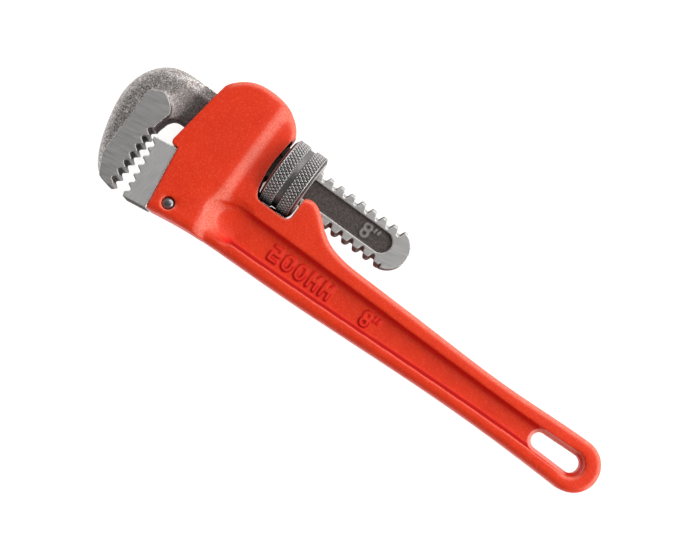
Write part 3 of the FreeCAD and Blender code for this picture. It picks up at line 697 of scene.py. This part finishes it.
def build_heel_jaw():
    surface = remeshed("heel_jaw", HEEL_VOXEL)
    surface.relax(3)
    surface.soften(1)
    # painted shade on faces turned towards -Y
    rear_shade = smoothstep(-0.25, -0.55, surface.normals()[:, 1])
    masks = {"wear": smoothstep(0.02, 0.05, bulge(surface)) * (1 - rear_shade), "rear_shade": rear_shade}
    make_piece("heel_jaw_block", surface, "handle", "heel_jaw",
               [ground_steel()], masks)


# ---- Nut ------------------------------------------------------------------------------------

BORE, GROOVE = 6.3, 8.0             # radii of the nut's inner thread
THREAD_PITCH, THREAD_CREST_X = 4.3, 2.4
WAIST_HALF, WAIST_DEPTH = 0.85, 0.8     # smooth groove between the two knurled bands
BEVEL_WIDE, BEVEL_DEEP = 0.9, 1.8
KNURLS, KNURL_STEP, KNURL_DEPTH = 56, 2.0, 0.42     # rows around, distance along the axis, depth


def build_nut():
    low, high = node_box("adjusting_nut")
    middle = (low + high) / 2
    outer, half = (high[2] - low[2]) / 2, (high[0] - low[0]) / 2
    reach = half - BEVEL_WIDE
    around = KNURLS * 12
    outside = np.linspace(-reach, reach, 92)
    profile = [(BORE + 1.6, -half, "end"), (outer - BEVEL_DEEP - 0.3, -half, "end")]
    profile += [(outer - BEVEL_DEEP * (1 - t), -half + BEVEL_WIDE * t, "end")
                for t in (0.03, 0.3, 0.6, 0.9)]
    back = [(r, -s, kind) for r, s, kind in reversed(profile)]
    profile += [(outer, s, "knurl") for s in outside] + back
    profile += [(BORE, s, "bore") for s in np.linspace(half - 0.5, -half + 0.5, 46)]
    angle = np.linspace(0, 2 * math.pi, around, endpoint=False)
    rows, deep_shade = [], []
    for radius, s, kind in profile:
        r = np.full(around, radius)
        # d is painted shade: dark in the knurl's grooves, the waist, on the end faces and in the
        # bore
        d = np.zeros(around)
        if kind == "knurl":
            edge = smoothstep(0.15, 0.40, reach - abs(s))
            in_waist = smoothstep(WAIST_HALF + 0.35, WAIST_HALF, abs(s))
            a, b = KNURLS * angle / 2, math.pi * s / KNURL_STEP
            ridge = np.minimum(np.abs(np.sin(a + b)), np.abs(np.sin(a - b)))
            cut = smoothstep(0.9, 0.0, ridge)
            share = edge * (1 - in_waist)
            r = r - KNURL_DEPTH * cut * share - WAIST_DEPTH * in_waist
            d = cut * share + 0.45 * in_waist
        if kind == "end":
            d = np.full(around, 0.8)
        if kind == "bore":
            turn = (s + middle[0] - THREAD_CREST_X) / THREAD_PITCH - angle / (2 * math.pi)
            from_crest = np.abs(turn - np.round(turn)) * THREAD_PITCH
            r = r + (GROOVE - BORE) * smoothstep(1.55, 0.95, from_crest)
            d = np.full(around, 0.7)
        rows.append(np.stack([np.full(around, middle[0] + s), middle[1] + r * np.cos(angle),
                              middle[2] + r * np.sin(angle)], axis=1))
        deep_shade.append(d)
    points = np.concatenate(rows)
    n = len(profile)
    faces = []
    for i in range(n):
        j = (i + 1) % n
        faces += ring(i, j, around)
    surface = Surface(points, faces)
    masks = {"deep_shade": np.concatenate(deep_shade), "wear": smoothstep(0.010, 0.030, bulge(surface))}
    make_piece("adjusting_nut_knurled", surface, "nut", "adjusting_nut",
               [nut_steel()], masks)


# ---- Pin and springs ------------------------------------------------------------------------

def lathe(place, profile, steps=64):
    """Points and faces turned around a Z axis through place, from (radius, height) pairs."""
    angle = np.linspace(0, 2 * math.pi, steps, endpoint=False)
    rows = [np.stack([place[0] + r * np.cos(angle), place[1] + r * np.sin(angle),
                      np.full(steps, place[2] + h)], axis=1) for r, h in profile]
    points = np.concatenate(rows)
    faces = []
    for i in range(len(profile) - 1):
        faces += ring(i, i + 1, steps)
    return points, faces


def build_pin():
    low, high = node_box("heel_jaw_pin")
    middle, half = (low + high) / 2, (high[2] - low[2]) / 2
    radius = (high[0] - low[0]) / 2
    slopes = np.radians([0.5, 4, 8, 12, 16, 20, 24, 28, 32, 36])
    dome = 0.83 * radius / math.sin(slopes[-1])
    end = [(dome * math.sin(a), half - dome * (1 - math.cos(a))) for a in slopes]
    end += [(0.90 * radius, half - 0.85), (0.97 * radius, half - 0.95), (radius, half - 1.15)]
    profile = [(r, -h) for r, h in end] + [(radius, 0.0)] + list(reversed(end))
    points, faces = lathe(middle, profile)
    surface = Surface(points, faces)
    make_piece("heel_jaw_pin_turned", surface, "handle", "heel_jaw_pin",
               [dark_steel("pin_steel", (0.17, 0.17, 0.175), (0.30, 0.30, 0.305), 0.20)])


def finish_springs():
    """The springs, in spring steel. The coil is a copy of its CAD node, carried by the handle."""
    material = dark_steel("spring_steel", (0.06, 0.07, 0.09), (0.20, 0.20, 0.21), 0.3)
    for name in ("leaf_spring", "spring_rivet"):
        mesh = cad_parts[name].data
        mesh.materials.clear()
        mesh.materials.append(material)
    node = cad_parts["coil_spring"]
    mesh = node.data.copy()
    mesh.materials.clear()
    mesh.materials.append(material)
    coil = bpy.data.objects.new("coil_spring_wound", mesh)
    bpy.context.collection.objects.link(coil)
    coil.matrix_world = node.matrix_world.copy()
    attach(coil, "handle")
    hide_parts("coil_spring")
    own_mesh(coil)


build_handle()
build_hook_jaw()
build_heel_jaw()
build_nut()
build_pin()
finish_springs()
